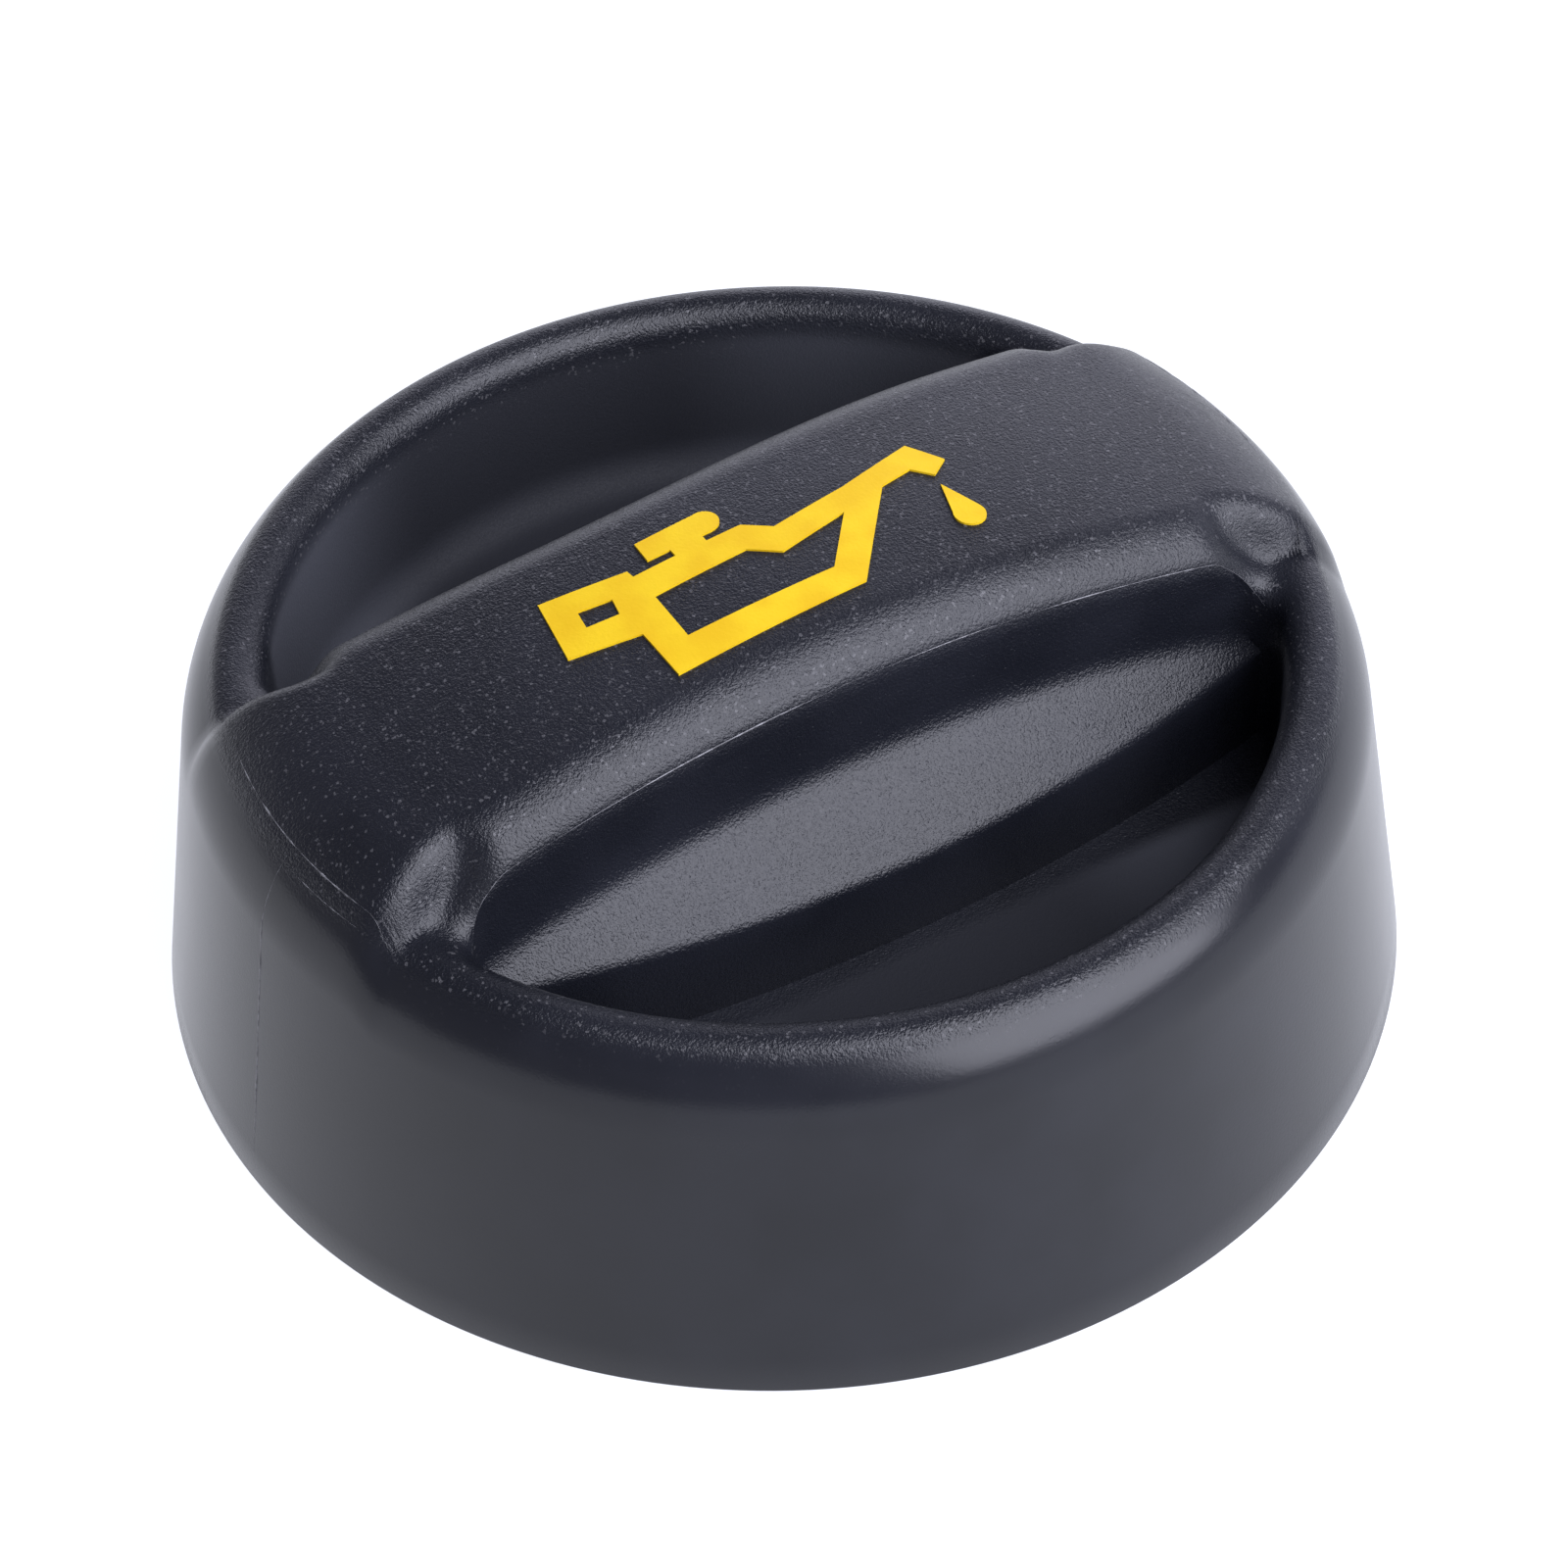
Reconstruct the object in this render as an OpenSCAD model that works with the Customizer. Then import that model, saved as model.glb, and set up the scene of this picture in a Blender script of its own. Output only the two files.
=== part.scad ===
// Oil filler cap: one black moulded cap with a grip bar across the top and a finger
// pocket on each side of it, a bayonet stem below, a rubber seal and a printed oil can.
// The bar runs along X, the printed figure is read from the -Y side, and Z is the cap's axis.
// The origin is on the axis, in the plane that the skirt's edge stands on.

/* [Skirt and rim] */
// Outer diameter at the foot of the skirt
cap_d = 64; // [56:0.5:76]
// Height of the rim's crest above the foot
rim_h = 19.7; // [18.5:0.1:24]
// Lean of the skirt's outer wall from vertical, in degrees
skirt_draft = 8.1; // [2:0.1:9]
// Radius of the large shoulder between the skirt and the rim
shoulder_r = 6.7; // [5:0.1:7.5]
// Radius of the rim's crest, where the shoulder turns down into the pockets
crest_r = 1.5; // [1:0.1:2.5]
// Wall thickness of the moulding
wall = 2.2; // [1.6:0.1:2.6]

/* [Grip bar] */
// Height of the bar's crown above the foot
bar_h = 25.6; // [25:0.1:29]
// Width of the bar
bar_w = 16.2; // [14:0.1:18]
// Radius of the crown along the bar
crown_r = 109; // [95:1:140]
// Radius of the roll along the bar's two upper edges
roll_r = 2.5; // [1.5:0.1:3]
// Radius that rounds the bar's ends down into the skirt
end_r = 8; // [7:0.1:9]

/* [Finger pockets] */
// Height of the pocket floor above the foot
floor_z = 9.6; // [9:0.1:11]
// Lean of the pocket's outer wall from vertical, in degrees
pocket_draft = 2; // [0.5:0.5:4]
// Radius between the pocket's outer wall and its floor
floor_r = 2; // [1:0.1:3]
// Radius of the upright corner at each end of a pocket
corner_r = 1.8; // [1.5:0.1:3]
// Height at which the bar's flank runs out into the sloping finger ledge
ledge_top_z = 18.4; // [17:0.1:19]
// Reach of the ledge's lower edge from the bar's centre line
ledge_reach = 12.8; // [11.5:0.1:13.5]
// Height of the ledge's lower edge at mid length
ledge_low_z = 14.4; // [13.5:0.1:15.5]
// Radius of the hollow where the flank meets the ledge
ledge_hollow_r = 2; // [1:0.1:3]
// Radius, seen from above, of the ledge's bowed lower edge
ledge_bow_r = 99; // [85:1:120]

/* [Stem and bayonet] */
// Outer diameter of the stem that enters the filler neck
stem_d = 31; // [28:0.5:34]
// Gap between the stem's lower end and the foot plane
stem_lift = 0.8; // [0.4:0.1:1.5]
// Number of bayonet lugs
lug_count = 2; // [2:1:3]
// Reach of a lug beyond the stem
lug_reach = 2.8; // [2:0.1:3.5]
// Height of a lug
lug_h = 2.2; // [1.8:0.1:2.6]
// Angle that a lug spans, in degrees
lug_span = 56; // [30:1:80]
// Angle of the lead-in ramp on a lug, in degrees
lug_ramp = 9; // [5:1:14]

/* [Seal] */
// Width of the flat rubber seal, from its bore to its edge
seal_w = 5.85; // [4.5:0.05:6.5]
// Thickness of the seal
seal_t = 2.2; // [1.8:0.1:2.4]
// Radial gap between the seal and the stem
seal_gap = 0.15; // [0.05:0.05:0.3]

/* [Underside ribs] */
// Number of radial ribs between the seal seat and the skirt
rib_count = 12; // [8:2:20]
// Thickness of a rib
rib_t = 1.4; // [1:0.1:2]
// Height of a rib's lower edge above the foot
rib_z = 4.6; // [4:0.1:6]

/* [Printed figure] */
// Thickness of the printed layer
print_t = 0.12; // [0.06:0.02:0.3]
// Size of the figure against its drawn size
print_scale = 1; // [0.7:0.05:1.1]

/* [Hidden] */
$fn = 180;
black = "#2b2c30";
rubber = "#1c1c1d";
yellow = "#f7ce0f";
// a cut runs this far past the face that it opens
past = 1;
// steps along a drawn arc
arc_steps = 10;

cap_r = cap_d / 2;
bar_half = bar_w / 2;
// centre of the shoulder's arc, tangent to the leaning skirt and to the crest's arc
shoulder_z = rim_h - shoulder_r * sin(45) - crest_r * (1 - sin(45));
shoulder_x = cap_r - (shoulder_r + shoulder_z * sin(skirt_draft)) / cos(skirt_draft);
// centre of the crest's arc
crest_x = shoulder_x + (shoulder_r - crest_r) * cos(45);
crest_z = shoulder_z + (shoulder_r - crest_r) * sin(45);
// the arc that rounds the bar's ends, tangent to the crown and to the leaning skirt;
// its centre lies this far up a line that runs beside the skirt, one end radius inside it
crown_z = bar_h - crown_r;
end_in = cap_r * cos(skirt_draft) - end_r;
end_up = -crown_z * cos(skirt_draft);
end_rise = sqrt(pow(crown_r - end_r, 2) - pow(end_in - crown_z * sin(skirt_draft), 2)) - end_up;
end_x = end_in * cos(skirt_draft) - end_rise * sin(skirt_draft);
end_z = end_in * sin(skirt_draft) + end_rise * cos(skirt_draft);
end_angle = atan2(end_z - crown_z, end_x);
// the arc leaves the rim's shoulder this far above the skirt's lean, at a clean edge
end_start = skirt_draft + 6;
// lower end of the bar's section, which the crown's envelope cuts off at the seal seat
bar_foot_z = ledge_low_z - 9;
// underside of the pocket floors, which the seal seats on
seat_z = floor_z - wall;
// outside radius of the wall behind the pockets
pocket_back_r = crest_x - crest_r + wall;
stem_bore_r = stem_d / 2 - wall;
seal_d = stem_d + 2 * (seal_gap + seal_w);
// the groove behind the rim narrows upwards, and its top keeps this width or more
groove_w = 0.3;
groove_z = min(
    shoulder_z - 1,
    (cap_r - wall / cos(skirt_draft) - pocket_back_r - groove_w) / tan(skirt_draft)
);

// radius of the skirt's outer face at height z
function skirt_x(z) = cap_r - z * tan(skirt_draft);
// radius of the skirt's inner face at height z
function skirt_in(z) = skirt_x(z) - wall / cos(skirt_draft);
// radius of a pocket's outer wall at height z
function pocket_x(z) = crest_x - crest_r * cos(pocket_draft)
    - (crest_z + crest_r * sin(pocket_draft) - z) * tan(pocket_draft);
// points of an arc about [x, y] from angle a to angle b
function arc(x, y, r, a, b) = [
    for (i = [0:arc_steps])
        [x + r * cos(a + (b - a) * i / arc_steps), y + r * sin(a + (b - a) * i / arc_steps)]
];

// outside of the skirt and rim with the round tray that the pockets lie in
module tray() {
    rotate_extrude()
        polygon(concat(
            [[0, 0], [cap_r, 0]],
            arc(shoulder_x, shoulder_z, shoulder_r, skirt_draft, 45),
            arc(crest_x, crest_z, crest_r, 45, 180 - pocket_draft),
            arc(pocket_x(floor_z + floor_r) - floor_r * cos(pocket_draft),
                floor_z + floor_r, floor_r, -pocket_draft, -90),
            [[0, floor_z]]
        ));
}

// the smooth crown that the bar's top and ends follow, from the pocket floor up
module crown_envelope() {
    rotate(60) rotate_extrude()
        polygon(concat(
            [[0, seat_z], [skirt_x(seat_z) - wall, seat_z]],
            arc(end_x, end_z, end_r, end_start, end_angle),
            arc(0, crown_z, crown_r, end_angle, 90)
        ));
}

// turns a section drawn as [height above the foot, distance from the bar's centre line]
// about the crown's axis, which lies across the bar, until its foot reaches this far along X
module sweep_along_crown(reach, foot_z) {
    half_turn = asin(reach / (foot_z - crown_z));
    translate([0, 0, crown_z])
        rotate([-90, 0, 0])
            rotate([0, 0, -90 - half_turn])
                rotate_extrude(angle = 2 * half_turn)
                    translate([-crown_z, 0])
                        children();
}

// the bar's section: crown, and on each side a rolled edge, flank, hollow and finger ledge
module bar_section() {
    // the roll stops short of level so that it cuts the crown cleanly
    roll_start = 83;
    roll_drop = pow(bar_half - roll_r, 2) / (2 * crown_r);
    roll_z = bar_h - roll_drop - roll_r;
    peak_z = roll_z + roll_r / sin(roll_start) + (bar_half - roll_r) / tan(roll_start);
    slope = atan2(ledge_top_z - ledge_low_z, ledge_reach - bar_half);
    ledge_out = ledge_reach + wall;
    ledge_end_z = ledge_low_z - wall * tan(slope);
    // the hollow is tangent to the upright flank and to the ledge
    hollow_x = bar_half + ledge_hollow_r;
    hollow_z = ledge_top_z - ledge_hollow_r * tan(slope) + ledge_hollow_r / cos(slope);
    side = concat(
        [[0, peak_z]],
        arc(bar_half - roll_r, roll_z, roll_r, roll_start, 0),
        arc(hollow_x, hollow_z, ledge_hollow_r, 180, 270 - slope),
        [[ledge_out, ledge_end_z], [ledge_out, bar_foot_z]]
    );
    polygon(concat(
        [for (p = side) [p[1], p[0]]],
        [for (i = [len(side) - 1:-1:1]) [side[i][1], -side[i][0]]]
    ));
}

// the grip bar with its ledges, bowed at the sides and rounded over at the ends
module grip_bar() {
    bow_shift = ledge_bow_r - ledge_reach;
    intersection() {
        crown_envelope();
        sweep_along_crown(cap_r, bar_foot_z) bar_section();
        translate([0, bow_shift, 0]) cylinder(r = ledge_bow_r, h = bar_h + past);
        translate([0, -bow_shift, 0]) cylinder(r = ledge_bow_r, h = bar_h + past);
    }
}

// fills the sharp corner between flank and rim with an upright hollow, rolled at its top
module corner_fill() {
    reach = pocket_x(rim_h - crest_r) - corner_r;
    rolled_r = corner_r + crest_r;
    fill_y = bar_half + corner_r;
    fill_x = sqrt(pow(reach, 2) - pow(fill_y, 2));
    span = 90 + atan2(fill_y, fill_x);
    translate([fill_x, fill_y, 0])
        rotate([0, 0, -90])
            rotate_extrude(angle = span)
                polygon(concat(
                    [[corner_r, seat_z], [rolled_r, seat_z]],
                    arc(rolled_r, rim_h - crest_r, crest_r, 90, 180)
                ));
}

// hollow of the skirt, and the groove that keeps the rim's wall even
module skirt_hollow() {
    rotate_extrude()
        polygon([
            [0, -past],
            [skirt_in(-past), -past],
            [skirt_in(groove_z), groove_z],
            [pocket_back_r, groove_z],
            [pocket_back_r, seat_z],
            [0, seat_z]
        ]);
}

// hollow under the bar, reached through the stem's bore
module bar_hollow() {
    slot_half = bar_half - wall;
    low_half = ledge_reach - wall;
    intersection() {
        union() {
            sweep_along_crown(stem_d / 2, seat_z - past)
                polygon([
                    [seat_z - past, -slot_half],
                    [bar_h - wall, -slot_half],
                    [bar_h - wall, slot_half],
                    [seat_z - past, slot_half]
                ]);
            translate([-stem_bore_r, -low_half, seat_z - past])
                cube([2 * stem_bore_r, 2 * low_half, ledge_low_z - wall - seat_z + past]);
        }
        cylinder(r = stem_bore_r, h = bar_h);
    }
}

// the two hollows under the bar's ends, outside the seal seat
module end_hollow() {
    end_half = bar_half - wall;
    intersection() {
        difference() {
            cylinder(r = pocket_back_r, h = shoulder_z + past);
            translate([0, 0, -past]) cylinder(d = seal_d + wall, h = bar_h);
        }
        translate([-cap_r, -end_half, 0]) cube([cap_d, 2 * end_half, bar_h]);
    }
}

// the tube below the seal seat
module stem() {
    translate([0, 0, stem_lift])
        difference() {
            cylinder(d = stem_d, h = seat_z + wall / 2 - stem_lift);
            translate([0, 0, -past]) cylinder(r = stem_bore_r, h = bar_h);
        }
}

// one bayonet lug, with a lead-in ramp over its leading end
module lug() {
    lug_r = stem_d / 2 + lug_reach;
    rotate([0, 0, -lug_span / 2])
        difference() {
            translate([0, 0, stem_lift])
                rotate_extrude(angle = lug_span)
                    translate([stem_d / 2 - wall / 2, 0])
                        square([lug_reach + wall / 2, lug_h]);
            rotate([0, 0, lug_span])
                translate([0, 0, stem_lift + lug_h / 2])
                    rotate([-lug_ramp, 0, 0])
                        translate([0, -2 * lug_r, 0])
                            cube([2 * lug_r, 4 * lug_r, 2 * lug_h]);
        }
}

// radial rib under the seal seat's level, running on into the rim's groove
module rib() {
    rib_in = seal_d / 2 + wall;
    rib_bevel = 1;
    rotate([90, 0, 0])
        linear_extrude(rib_t, center = true)
            polygon([
                [rib_in, rib_z + rib_bevel],
                [rib_in + rib_bevel, rib_z],
                [skirt_in(rib_z) + wall / 2, rib_z],
                [skirt_in(groove_z) + wall / 2, groove_z],
                [pocket_back_r - wall / 2, groove_z],
                [pocket_back_r - wall / 2, seat_z + wall / 4],
                [rib_in, seat_z + wall / 4]
            ]);
}

// the black moulding
module cap_body() {
    color(black)
        difference() {
            union() {
                difference() {
                    union() {
                        tray();
                        grip_bar();
                        for (x = [0, 1], y = [0, 1])
                            mirror([x, 0, 0]) mirror([0, y, 0]) corner_fill();
                    }
                    skirt_hollow();
                }
                stem();
                for (i = [0:rib_count - 1])
                    rotate([0, 0, 360 / rib_count * (i + 0.5)]) rib();
                for (i = [0:lug_count - 1])
                    rotate([0, 0, 90 + 360 / lug_count * i]) lug();
            }
            bar_hollow();
            end_hollow();
        }
}

// the flat rubber seal against its seat round the stem
module seal_ring() {
    color(rubber)
        translate([0, 0, seat_z - seal_t])
            difference() {
                cylinder(d = seal_d, h = seal_t);
                translate([0, 0, -past])
                    cylinder(r = stem_d / 2 + seal_gap, h = seal_t + 2 * past);
            }
}

// outline of the oil can, with its handle at the left and its spout at the right
module oil_can_outline() {
    difference() {
        union() {
            // handle
            polygon([[-11.45, 2.8], [-12.05, -1.3], [-8.3, -1.95], [-6.5, 0], [-6.8, 2.2]]);
            // can, shoulder and spout
            polygon([
                [-6.8, 1.7], [-8.3, -1.95], [-8.2, -5.25], [2.65, -4.65], [7, 0.95], [8.85, 1.4],
                [9.75, 0.45], [10.85, 1.3], [9.65, 3.15], [5.25, 1.85], [0.8, 1], [-0.55, 2]
            ]);
            // neck
            translate([-4.3, 1.5]) square([1.8, 1.5]);
            // lid, rounded at one end
            polygon([[-5.55, 3.7], [-5.6, 2.3], [-1.9, 2.4], [-1.9, 3.95]]);
            translate([-1.9, 3.2]) circle(r = 0.77);
        }
        polygon([[-10.15, 1.2], [-10.3, 0], [-8.55, -0.15], [-8.35, 0.95]]);
        polygon([[-6.55, -0.05], [-6.55, -3.3], [1.8, -3.05], [4.3, 0.15], [0.25, -0.8], [-1.2, 0.3]]);
    }
    // drip
    translate([9.7, -2.85]) {
        circle(r = 0.83);
        polygon([[-0.1, 2.55], [-0.83, 0.05], [0.78, 0.28]]);
    }
}

// the printed layer, which follows the crown
module oil_can_print() {
    color(yellow)
        intersection() {
            translate([0, 0, bar_h / 2])
                linear_extrude(bar_h)
                    scale(print_scale) oil_can_outline();
            translate([0, 0, crown_z])
                difference() {
                    sphere(r = crown_r + print_t);
                    sphere(r = crown_r);
                }
        }
}

cap_body();
seal_ring();
oil_can_print();
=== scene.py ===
"""Looks of the oil filler cap: black moulding, rubber seal, printed oil can, studio and camera."""

import logging
import math
from dataclasses import dataclass, field
from enum import Enum
from typing import Callable, Iterable, Optional, Union

import bmesh
import bpy
from mathutils import Matrix, Vector
from mathutils import noise as field_noise

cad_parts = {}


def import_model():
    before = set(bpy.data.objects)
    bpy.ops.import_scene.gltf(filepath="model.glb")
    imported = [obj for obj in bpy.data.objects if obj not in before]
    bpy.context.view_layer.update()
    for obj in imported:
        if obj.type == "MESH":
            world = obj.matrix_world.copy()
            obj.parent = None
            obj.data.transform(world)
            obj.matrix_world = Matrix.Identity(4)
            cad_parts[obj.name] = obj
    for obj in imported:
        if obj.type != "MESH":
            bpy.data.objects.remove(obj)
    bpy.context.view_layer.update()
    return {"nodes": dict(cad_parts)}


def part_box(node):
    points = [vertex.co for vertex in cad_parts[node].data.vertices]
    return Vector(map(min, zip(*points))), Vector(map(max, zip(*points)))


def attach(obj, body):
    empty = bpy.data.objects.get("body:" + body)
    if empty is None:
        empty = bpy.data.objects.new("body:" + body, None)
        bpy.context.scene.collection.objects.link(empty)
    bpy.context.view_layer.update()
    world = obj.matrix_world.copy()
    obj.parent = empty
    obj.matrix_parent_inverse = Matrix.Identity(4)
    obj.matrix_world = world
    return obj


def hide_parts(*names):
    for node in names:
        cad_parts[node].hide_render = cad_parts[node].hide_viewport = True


LOG = logging.getLogger("oil_filler_cap")
MM = 0.001
# what a noise is on average
MEAN = 0.5


def smooth(value: float, low: float, high: float) -> float:
    """Eases from 0 at low to 1 at high."""
    t = min(1.0, max(0.0, (value - low) / (high - low)))
    return t * t * (3 - 2 * t)


def mix(a: float, b: float, share: float) -> float:
    """Goes from a to b as share goes from 0 to 1."""
    return a + (b - a) * share


class Ray(Enum):
    """Rays that see a backdrop as it is painted."""

    CAMERA = "Is Camera Ray"
    GLOSSY = "Is Glossy Ray"
    TRANSMISSION = "Is Transmission Ray"


class Sock:
    """A shader socket that takes part in Python sums.

    Args:
        paint: The node tree helper that owns the socket.
        link: The output socket.
    """

    def __init__(self, paint: "Paint", link: bpy.types.NodeSocket) -> None:
        self.paint = paint
        self.link = link

    def _math(self, kind: str, *values: "Value") -> "Sock":
        """Adds one Math node."""
        return self.paint.node("ShaderNodeMath", {"operation": kind}, dict(enumerate(values)))

    def __add__(self, other: "Value") -> "Sock":
        """Sum."""
        return self._math("ADD", self, other)

    def __radd__(self, other: "Value") -> "Sock":
        """Sum, reflected."""
        return self._math("ADD", other, self)

    def __sub__(self, other: "Value") -> "Sock":
        """Difference."""
        return self._math("SUBTRACT", self, other)

    def __rsub__(self, other: "Value") -> "Sock":
        """Difference, reflected."""
        return self._math("SUBTRACT", other, self)

    def __mul__(self, other: "Value") -> "Sock":
        """Product."""
        return self._math("MULTIPLY", self, other)

    def __rmul__(self, other: "Value") -> "Sock":
        """Product, reflected."""
        return self._math("MULTIPLY", other, self)

    def __pow__(self, other: "Value") -> "Sock":
        """Power."""
        return self._math("POWER", self, other)

    def least(self, other: "Value") -> "Sock":
        """The lesser of two values."""
        return self._math("MINIMUM", self, other)

    def ease(self, low: float, high: float) -> "Sock":
        """Eases from 0 at low to 1 at high.

        Args:
            low: Value that gives 0.
            high: Value that gives 1.

        Returns:
            The eased value.
        """
        return self.paint.node(
            "ShaderNodeMapRange",
            {"interpolation_type": "SMOOTHSTEP"},
            {"Value": self, "From Min": low, "From Max": high},
        )

    def fade(self, span_mm: "Span") -> "Sock":
        """Eases from 0 to 1 over a range in millimetres."""
        return self.ease(span_mm[0] * MM, span_mm[1] * MM)


Value = Union[Sock, float]
Colour = tuple[float, float, float, float]
Span = tuple[float, float]


class Paint:
    """Makes the nodes of one material or world.

    Args:
        tree: The node tree, which is emptied first.
    """

    def __init__(self, tree: bpy.types.NodeTree) -> None:
        self.tree = tree
        tree.nodes.clear()

    def node(
        self,
        kind: str,
        settings: Optional[dict] = None,
        values: Optional[dict] = None,
        out: Union[int, str] = 0,
    ) -> Sock:
        """Makes one node.

        Args:
            kind: The node's type.
            settings: Attributes, which are set before the sockets.
            values: Numbers, colours or sockets for the node's inputs, by name or place.
            out: Name or place of the output that is returned.

        Returns:
            The chosen output.
        """
        made = self.tree.nodes.new(kind)
        for name, value in (settings or {}).items():
            setattr(made, name, value)
        for name, value in (values or {}).items():
            if isinstance(value, Sock):
                self.tree.links.new(value.link, made.inputs[name])
            else:
                made.inputs[name].default_value = value
        return Sock(self, made.outputs[out] if made.outputs else None)

    def place(self) -> Sock:
        """Object coordinates, in metres."""
        return self.node("ShaderNodeTexCoord", out="Object")

    def axes(self, vector: Sock) -> tuple[Sock, Sock, Sock]:
        """Splits a vector.

        Args:
            vector: The vector's socket.

        Returns:
            Its x, y and z.
        """
        parts = self.node("ShaderNodeSeparateXYZ", values={0: vector})
        outputs = parts.link.node.outputs
        return Sock(self, outputs[0]), Sock(self, outputs[1]), Sock(self, outputs[2])

    def noise(self, size_mm: float, detail: float = 2.0, rough: float = 0.5) -> Sock:
        """Noise over Object coordinates.

        Args:
            size_mm: About the width of one blotch.
            detail: Number of finer layers.
            rough: Strength of the finer layers.

        Returns:
            The noise, about 0.5 on average.
        """
        return self.node(
            "ShaderNodeTexNoise",
            values={
                "Vector": self.place(),
                "Scale": 1 / (size_mm * MM),
                "Detail": detail,
                "Roughness": rough,
            },
        )

    def cells(self, size_mm: float) -> Sock:
        """Random grey value of each cell of a cell pattern over Object coordinates.

        Args:
            size_mm: About the width of one cell.

        Returns:
            A value from 0 to 1 for each cell.
        """
        colour = self.node(
            "ShaderNodeTexVoronoi",
            values={"Vector": self.place(), "Scale": 1 / (size_mm * MM)},
            out="Color",
        )
        return self.axes(colour)[0]

    def blend(self, share: Value, first: Union[Sock, Colour], second: Union[Sock, Colour]) -> Sock:
        """Mixes two colours.

        Args:
            share: 0 gives the first colour and 1 the second.
            first: First colour.
            second: Second colour.

        Returns:
            The mixed colour.
        """
        # a Mix node has its colours at inputs 6 and 7 and at output 2
        return self.node(
            "ShaderNodeMix",
            {"data_type": "RGBA"},
            {"Factor": share, 6: first, 7: second},
            out=2,
        )

    def bump(self, height: Sock, depth_mm: float) -> Sock:
        """Turns a height from 0 to 1 into a normal.

        Args:
            height: The height.
            depth_mm: What a height of 1 stands for.

        Returns:
            The normal.
        """
        return self.node(
            "ShaderNodeBump",
            values={"Strength": 1.0, "Distance": depth_mm * MM, "Height": height},
        )

    def plastic(self, values: dict) -> None:
        """Ends a material in one Principled shader.

        Args:
            values: Numbers, colours or sockets for the shader's inputs.
        """
        shader = self.node("ShaderNodeBsdfPrincipled", values=values)
        self.node("ShaderNodeOutputMaterial", values={"Surface": shader})


def new_material(name: str) -> tuple[bpy.types.Material, Paint]:
    """Makes an empty material.

    Args:
        name: Its name.

    Returns:
        The material and its node helper.
    """
    material = bpy.data.materials.new(name)
    material.use_nodes = True
    return material, Paint(material.node_tree)


@dataclass(frozen=True)
class MouldedNylon:
    """Black glass-filled nylon: blasted inside the parting line and smoother on the skirt."""

    name: str = "moulded_nylon"
    dark: Colour = (0.0066, 0.0074, 0.0110, 1)
    light: Colour = (0.0106, 0.0116, 0.0165, 1)
    # pale specks painted on as glints of the blasted grain's sparkle
    glint_speck: Colour = (0.065, 0.065, 0.071, 1)
    # the pockets' colour, lighter than the moulding's: painted fill light, lighter still at their
    # ends where shade falls deepest
    pocket_fill_light: Colour = (0.012, 0.013, 0.018, 1)
    corner_fill_light: Colour = (0.055, 0.058, 0.070, 1)
    ior: float = 1.43
    # the skirt's roughness, and what the blasted top, the pockets and the patterns add to it
    roughness: float = 0.23
    blasted: float = 0.08
    dull: float = 0.42
    blotchy: float = 0.06
    uneven: float = 0.3
    blotch_mm: float = 7.0
    grain_mm: float = 0.17
    grain_depth_mm: float = 0.048
    # width and height of the finer grain, and width of a painted glint, as shares of the grain's
    finer_size: float = 0.6
    finer_height: float = 0.6
    glint_size: float = 0.75
    # the skirt's share of the grain and of the painted glints, and what the pockets lose of the
    # grain
    skirt_grain: float = 0.1
    skirt_glints: float = 0.05
    pocket_grain: float = 0.6
    # values of the patterns between which a blotch or a painted glint sets in
    blotch_rank: Span = (0.3, 0.7)
    glint_rank: Span = (0.94, 0.99)
    # where a zone sets in or stops, in millimetres from the axis, across the bar, along it or up
    parting: Span = (27.6, 28.4)
    # the pockets: duller, less grained, and painted lighter as fill light
    pocket_across: Span = (13.2, 14.6)
    pocket_below: Span = (17.3, 19.2)
    pocket_within: Span = (26.2, 26.9)
    # the flank below the crease lies in shade, so it gets no painted glints
    flank_from: Span = (8.1, 8.5)
    flank_to: Span = (9.2, 9.8)
    # towards the pockets' ends their painted fill light grows stronger
    corner_along: Span = (7.0, 17.0)
    # the painted glints show only above this height
    glint_above: Span = (16.5, 18.5)

    def material(self) -> bpy.types.Material:
        """Builds the material.

        Returns:
            The material, with pale specks painted on top as glints, and its pockets painted lighter
            as fill light.
        """
        made, paint = new_material(self.name)
        x, y, z = paint.axes(paint.place())
        radius = (x * x + y * y) ** 0.5
        top = 1 - radius.fade(self.parting)
        blotch = paint.noise(self.blotch_mm, 3)
        fine = paint.noise(self.grain_mm, 2, 0.6)
        finer = paint.noise(self.grain_mm * self.finer_size, 1)
        glint_cells = paint.cells(self.grain_mm * self.glint_size)
        across = (y * y) ** 0.5
        pocket = across.fade(self.pocket_across) * (1 - z.fade(self.pocket_below))
        pocket = pocket * (1 - radius.fade(self.pocket_within))
        flank = across.fade(self.flank_from) * (1 - across.fade(self.flank_to))
        # painted glints: pale specks on the blasted top, few on the skirt, none on the shaded flank
        # or low down
        glint_mask = glint_cells.ease(*self.glint_rank) * (self.skirt_glints + (1 - self.skirt_glints) * top)
        glint_mask = glint_mask * z.fade(self.glint_above) * (1 - flank)
        colour = paint.blend(blotch.ease(*self.blotch_rank), self.dark, self.light)
        corner = ((x * x) ** 0.5).fade(self.corner_along)
        # the pockets painted lighter as fill light, lighter still towards their ends where shade is
        # deepest
        colour = paint.blend(pocket, colour, paint.blend(corner, self.pocket_fill_light, self.corner_fill_light))
        colour = paint.blend(glint_mask, colour, self.glint_speck)
        rough = self.roughness + self.blasted * top + self.dull * pocket
        rough = rough + self.blotchy * (blotch - MEAN) + self.uneven * (finer - MEAN) * top
        grain = fine + self.finer_height * finer
        depth = self.skirt_grain + (1 - self.skirt_grain) * top - self.pocket_grain * pocket
        paint.plastic(
            {
                "Base Color": colour,
                "Roughness": rough,
                "IOR": self.ior,
                "Normal": paint.bump(grain * depth, self.grain_depth_mm),
            }
        )
        return made


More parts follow.
